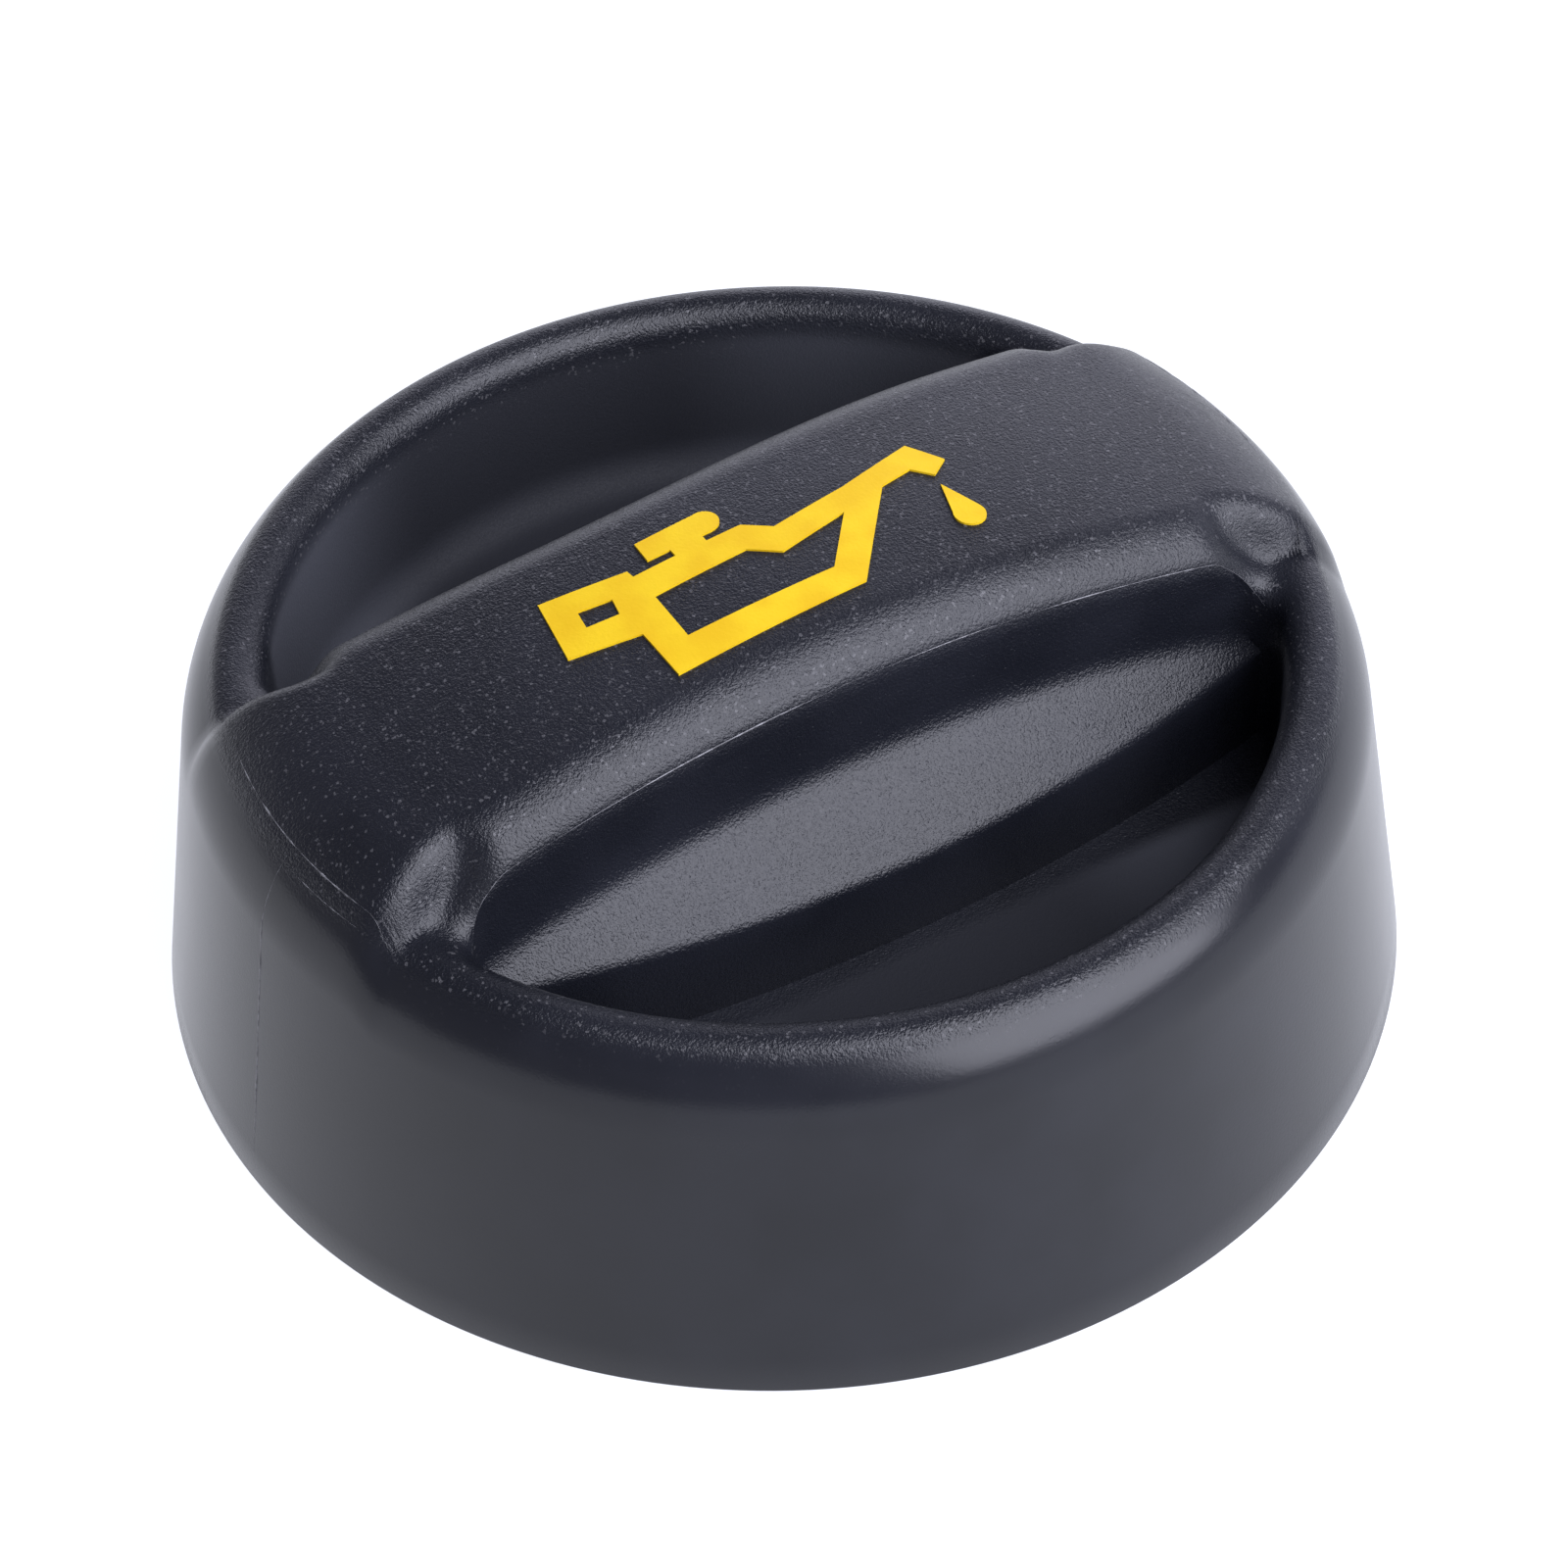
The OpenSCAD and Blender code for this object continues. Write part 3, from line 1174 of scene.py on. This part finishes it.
    def _thread(
        self,
        bm: bmesh.types.BMesh,
        path: list[Vector],
        out: list[Vector],
        width: float,
        seed: float,
    ) -> None:
        """Lays one thin ridge of flash along a path on the surface.

        Args:
            bm: The mesh.
            path: Points on the surface.
            out: The surface's outward direction at each point.
            width: Widest half width of the ridge.
            seed: Changes where the ridge thins out.
        """
        sides = self.thread_sides
        rings = []
        for i, (p, n) in enumerate(zip(path, out)):
            ahead = (path[min(i + 1, len(path) - 1)] - path[max(i - 1, 0)]).normalized()
            across = n.cross(ahead).normalized()
            wave = field_noise.noise(Vector((seed, i * self.thread_wave, 0)))
            swell = self.thread_mean + self.thread_swell * wave
            fade = min(1.0, 4 * min(i, len(path) - 1 - i) / len(path))
            half = max(self.thread_least, width * max(0.0, swell) * fade)
            ring = []
            for k in range(sides):
                a = math.tau * k / sides
                rise = math.sin(a) * self.thread_proud - self.thread_sunk
                ring.append(bm.verts.new(p + across * half * math.cos(a) + n * half * rise))
            rings.append(ring)
        faces = []
        for first, second in zip(rings, rings[1:]):
            for k in range(sides):
                after = (k + 1) % sides
                faces.append(bm.faces.new((first[k], second[k], second[after], first[after])))
        faces.append(bm.faces.new(rings[0]))
        faces.append(bm.faces.new(list(reversed(rings[-1]))))
        for face in faces:
            face.material_index = 1
        bmesh.ops.recalc_face_normals(bm, faces=faces)

    def _shift_rear(self, bm: bmesh.types.BMesh) -> None:
        """Moves the rear flank, which stands nearer the middle at the left than at the right.

        Args:
            bm: The mesh, whose underside and rim stay.
        """
        for vert in bm.verts:
            x, y = vert.co.x, vert.co.y
            if y > self.rear_across[0] and vert.co.z > self.surface.floor_z - 0.1:
                share = smooth(y, *self.rear_across) * (1 - smooth(y, *self.rear_behind))
                share *= 1 - smooth(vert.co.xy.length, *self.rear_within)
                move = mix(self.rear_left, self.rear_right, smooth(x, *self.rear_along))
                vert.co.y += share * move

    def _end_line(self, bm: bmesh.types.BMesh, end: int, flash: EndLine) -> None:
        """Lays flash across one end of the bar.

        Args:
            bm: The mesh.
            end: 1 for the right end and -1 for the left one, which is the same half a turn on.
            flash: The line.
        """
        s = self.surface
        turn = math.radians(flash.turn_deg)
        line, out = [], []
        for i in range(self.end_line_steps + 1):
            across = mix(*flash.reach, i / self.end_line_steps)
            angle = math.asin(across / s.end_turn_x)
            r, z = s.shoulder(angle, turn)
            flat = end * Vector((math.cos(angle), math.sin(angle)))
            line.append(Vector((*(flat * r), z)))
            out.append(Vector((*(flat * math.cos(turn)), math.sin(turn))))
        self._thread(bm, line, out, flash.width, flash.turn_deg + 3.1 * end)

    def _witness_line(self, bm: bmesh.types.BMesh, end: int) -> None:
        """Lays the line where the mould's halves meet down the skirt.

        Args:
            bm: The mesh.
            end: 1 for the right end and -1 for the left one.
        """
        s = self.surface
        lean = math.radians(s.draft)
        angle = math.radians(self.witness_deg)
        flat = Vector((math.cos(angle), math.sin(angle))) * end
        bend_n, wall_n = 19, 59
        line, out = [], []
        for i in range(bend_n + 1):
            turn = mix(math.radians(self.witness_turn_deg), lean, i / bend_n)
            r, z = s.shoulder(angle, turn)
            line.append(Vector((*(flat * r), z)))
            out.append(Vector((*(flat * math.cos(turn)), math.sin(turn))))
        high = line[-1].z
        for i in range(1, wall_n + 1):
            z = mix(high, self.witness_low, i / wall_n)
            line.append(Vector((*(flat * (s.foot_r - z * math.tan(lean))), z)))
            out.append(Vector((*(flat * math.cos(lean)), math.sin(lean))))
        self._thread(bm, line, out, self.witness_width, end * 5.3)

    def _flash_lines(self, bm: bmesh.types.BMesh) -> None:
        """Lays the flash round the mouths, over the bar's ends and down the skirt.

        Args:
            bm: The mesh.
        """
        outline = Outline(self.surface)
        for end in (1, -1):
            for flash in self.end_lines:
                self._end_line(bm, end, flash)
            self._witness_line(bm, end)
        for side in (1, -1):
            line, out = [], []
            for i in range(self.mouth_line_from, outline.rows - self.mouth_line_from + 1):
                at, away, _ = outline.point(i)
                z = self._roll_point(outline, i, 0).z
                line.append(Vector((at.x, side * at.y, z)))
                out.append(Vector((-away.x, -side * away.y, 0)).normalized())
            self._thread(bm, line, out, self.mouth_line_width, side * 7.7)

    def build(self, node: bpy.types.Object) -> bpy.types.Object:
        """Builds the moulding.

        Args:
            node: The frame's moulding, whose underside is kept.

        Returns:
            The piece.
        """
        bm = bmesh.new()
        outline = Outline(self.surface)
        self._grid(
            bm,
            outline.around,
            self.roll_steps + self.spoke_steps,
            lambda i, j: self._roll_point(outline, i % outline.around, j),
        )
        self._grid(
            bm,
            outline.rows,
            2 * self.side_steps,
            lambda i, j: self._pocket_point(outline, i, j),
        )
        bmesh.ops.remove_doubles(bm, verts=bm.verts, dist=self.weld)
        half = bm.verts[:] + bm.edges[:] + bm.faces[:]
        bmesh.ops.mirror(bm, geom=half, axis="Y", merge_dist=self.mirror_weld)
        self._skirt(bm, outline.full_turn)
        bmesh.ops.remove_doubles(bm, verts=bm.verts, dist=self.weld)
        self._join_underside(bm, node)
        bmesh.ops.dissolve_degenerate(bm, dist=1e-5, edges=bm.edges)
        bmesh.ops.recalc_face_normals(bm, faces=bm.faces)
        self._flash_lines(bm)
        self._shift_rear(bm)
        finishes = [self.nylon.material(), self.flash.material()]
        piece = finish_mesh("cap_moulding", bm, finishes, self.sharp_deg)
        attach(piece, "root")
        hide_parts("cap_body")
        return piece


@dataclass
class SealRing:
    """Flat rubber ring with rounded corners, against its seat round the stem."""

    bore: float = 15.65
    corner: float = 0.35
    corner_steps: int = 4
    steps: int = 144
    weld: float = 0.001
    sharp_deg: float = 40.0
    rubber: SealRubber = field(default_factory=SealRubber)

    def build(self) -> bpy.types.Object:
        """Builds the ring inside the frame's own box for it.

        Returns:
            The piece.
        """
        low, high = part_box("seal_ring")
        outer = high.x / MM
        bottom, top = low.z / MM, high.z / MM
        section = [(self.bore, bottom), (outer, bottom), (outer, top), (self.bore, top)]
        bm = bmesh.new()
        full_spin(bm, section, closed=True, steps=self.steps)
        bmesh.ops.remove_doubles(bm, verts=bm.verts, dist=self.weld)
        rims = [e for e in bm.edges if e.is_manifold and e.calc_face_angle() > 1]
        bmesh.ops.bevel(
            bm,
            geom=rims,
            offset=self.corner,
            affect="EDGES",
            segments=self.corner_steps,
            profile=0.5,
            material=-1,
        )
        bmesh.ops.recalc_face_normals(bm, faces=bm.faces)
        piece = finish_mesh("seal_rubber_ring", bm, [self.rubber.material()], self.sharp_deg)
        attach(piece, "root")
        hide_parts("seal_ring")
        return piece


@dataclass
class PrintedCan:
    """The yellow printed figure, which keeps the frame's own shape."""

    ink: YellowInk = field(default_factory=YellowInk)

    def dress(self, node: bpy.types.Object) -> bpy.types.Object:
        """Gives the frame's node its ink.

        Args:
            node: The frame's printed figure.

        Returns:
            The node.
        """
        node.data.materials.clear()
        node.data.materials.append(self.ink.material())
        return node


@dataclass
class Lamp:
    """One soft lamp, placed by its direction from the cap, in degrees and metres.

    Azimuth 0 is on the camera's side and 90 on its right.
    """

    name: str
    azimuth: float
    elevation: float
    distance: float
    width: float
    height: float
    watts: float
    colour: tuple[float, float, float]


@dataclass
class Studio:
    """Camera, floor, world and lamps.

    The camera stands at an azimuth from the front, and other azimuths count from the camera's.
    """

    azimuth: float = -29.5
    elevation: float = 44.6158
    roll: float = -1.9369
    distance: float = 0.255968
    slide_right: float = 0.000048
    slide_up: float = 0.0065728
    lens: float = 112.086
    sensor: float = 36.0
    clip: Span = (0.01, 20.0)
    # radiance of the room overhead, round the sides and of the pale wall behind, how much more
    # blue they have, how high the sides reach, and where the wall stands and how wide it is
    overhead: float = 0.14
    overhead_blue: float = 1.2
    sides: float = 0.19
    wall: float = 1.35
    room_blue: float = 1.18
    sides_rank: Span = (0.3, 0.62)
    wall_azimuth: float = 168.0
    wall_rank: Span = (0.68, 0.94)
    # the floor in millimetres, its two greys, and its glow, which is stronger on the window lamp's
    # side: painted light where the lamp's light falls
    floor_half: float = 4000.0
    floor_drop: float = 0.02
    cloud_mm: float = 400.0
    floor_dark: Colour = (0.14, 0.14, 0.14, 1)
    floor_light: Colour = (0.15, 0.15, 0.15, 1)
    glow: Colour = (0.95, 0.97, 1.06, 1)
    glow_lit_side: Colour = (1.10, 1.13, 1.24, 1)
    glow_azimuth: float = 70.0
    glow_span: Span = (10.0, 70.0)
    # height of the point that the lamps face, in metres
    aim: float = 0.012
    lamps: tuple[Lamp, ...] = (Lamp("window", 53, 42, 0.9, 1.0, 1.2, 21.5, (0.96, 0.97, 1.1)),)

    def camera(self) -> None:
        """Places the camera that was fitted to the photograph."""
        e, r = math.radians(self.elevation), math.radians(self.roll)
        back = Vector((0, -math.cos(e), math.sin(e)))
        right = Vector((1, 0, 0))
        up = back.cross(right)
        across = right * math.cos(r) + up * math.sin(r)
        upward = -right * math.sin(r) + up * math.cos(r)
        place = back * self.distance + across * self.slide_right + upward * self.slide_up
        turn = Matrix((across, upward, back)).transposed().to_4x4()
        data = bpy.data.cameras.new("photo_camera")
        data.sensor_width = self.sensor
        data.lens = self.lens
        data.clip_start, data.clip_end = self.clip
        camera = bpy.data.objects.new("photo_camera", data)
        about = Matrix.Rotation(math.radians(self.azimuth), 4, "Z")
        camera.matrix_world = about @ Matrix.Translation(place) @ turn
        bpy.context.scene.collection.objects.link(camera)
        bpy.context.scene.camera = camera

    def _seen(self, paint: Paint) -> Sock:
        """Picks the rays that should see the backdrop as it is painted.

        Args:
            paint: The material's node helper.

        Returns:
            1 for those rays.
        """
        path = paint.node("ShaderNodeLightPath").link.node.outputs
        total = Sock(paint, path[Ray.CAMERA.value])
        for ray in (Ray.GLOSSY, Ray.TRANSMISSION):
            total = total + Sock(paint, path[ray.value])
        return total.least(1.0)

    def _beyond(self, x: Sock, y: Sock, azimuth: float) -> Sock:
        """Distance from the axis in one direction.

        Args:
            x: The place's x.
            y: The place's y.
            azimuth: The direction, in degrees from the camera's.

        Returns:
            The distance.
        """
        a = math.radians(self.azimuth + azimuth)
        return x * math.sin(a) - y * math.cos(a)

    def world(self) -> None:
        """Dark overhead, dim round the sides, with a pale wall behind the cap."""
        world = bpy.data.worlds.new("studio")
        world.use_nodes = True
        bpy.context.scene.world = world
        paint = Paint(world.node_tree)
        x, y, z = paint.axes(paint.node("ShaderNodeTexCoord", out="Generated"))
        behind = self._beyond(x, y, self.wall_azimuth)
        level = self.sides * (1 - z.ease(*self.sides_rank))
        level = level + self.wall * behind.ease(*self.wall_rank)
        blue = level * self.room_blue
        room = paint.node("ShaderNodeCombineXYZ", values={0: level, 1: level, 2: blue})
        above = (self.overhead, self.overhead, self.overhead * self.overhead_blue)
        sky = paint.node("ShaderNodeVectorMath", {"operation": "ADD"}, {0: room, 1: above})
        light = paint.node("ShaderNodeBackground", values={"Color": sky, "Strength": 1.0})
        paint.node("ShaderNodeOutputWorld", values={"Surface": light})

    def floor(self) -> None:
        """A plain pale floor that keeps the cap's shadow."""
        bm = bmesh.new()
        bmesh.ops.create_grid(bm, x_segments=8, y_segments=8, size=self.floor_half)
        made, paint = new_material("pale_floor")
        cloud = paint.noise(self.cloud_mm, 1)
        shade = paint.blend(cloud, self.floor_dark, self.floor_light)
        matt = paint.node("ShaderNodeBsdfDiffuse", values={"Color": shade})
        x, y, _ = paint.axes(paint.place())
        beside = self._beyond(x, y, self.glow_azimuth)
        # painted light: the floor glows brighter towards the window lamp, and the cap reflects it
        lit = paint.blend(beside.fade(self.glow_span), self.glow, self.glow_lit_side)
        glow = paint.node("ShaderNodeEmission", values={"Color": lit, "Strength": 1.0})
        both = paint.node("ShaderNodeAddShader", values={0: matt, 1: glow})
        surface = paint.node("ShaderNodeMixShader", values={0: self._seen(paint), 1: matt, 2: both})
        paint.node("ShaderNodeOutputMaterial", values={"Surface": surface})
        bmesh.ops.translate(bm, vec=(0, 0, -self.floor_drop), verts=bm.verts)
        plane = finish_mesh("floor", bm, [made], 30)

    def light(self) -> None:
        """Hangs the lamps."""
        for lamp in self.lamps:
            data = bpy.data.lights.new(lamp.name, "AREA")
            data.shape = "RECTANGLE"
            data.size, data.size_y = lamp.width, lamp.height
            data.energy = lamp.watts
            data.color = lamp.colour
            a = math.radians(self.azimuth + lamp.azimuth)
            e = math.radians(lamp.elevation)
            away = Vector((math.sin(a) * math.cos(e), -math.cos(a) * math.cos(e), math.sin(e)))
            place = bpy.data.objects.new(lamp.name, data)
            place.location = away * lamp.distance + Vector((0, 0, self.aim))
            place.rotation_mode = "QUATERNION"
            place.rotation_quaternion = away.to_track_quat("Z", "Y")
            bpy.context.scene.collection.objects.link(place)
            LOG.info("lamp %s", lamp.name)

    def build(self) -> None:
        """Sets the whole studio."""
        bpy.context.scene.view_settings.view_transform = "Standard"
        self.camera()
        self.world()
        self.floor()
        self.light()


def main() -> None:
    """Builds the cap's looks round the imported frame."""
    logging.basicConfig(level=logging.INFO, format="%(name)s: %(message)s")
    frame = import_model()
    Studio().build()
    moulding = CapMoulding().build(frame["nodes"]["cap_body"])
    LOG.info("%s: %d faces", moulding.name, len(moulding.data.polygons))
    ring = SealRing().build()
    LOG.info("%s: %d faces", ring.name, len(ring.data.polygons))
    can = PrintedCan().dress(frame["nodes"]["oil_can_print"])
    LOG.info("%s dressed", can.name)


if __name__ == "__main__":
    main()
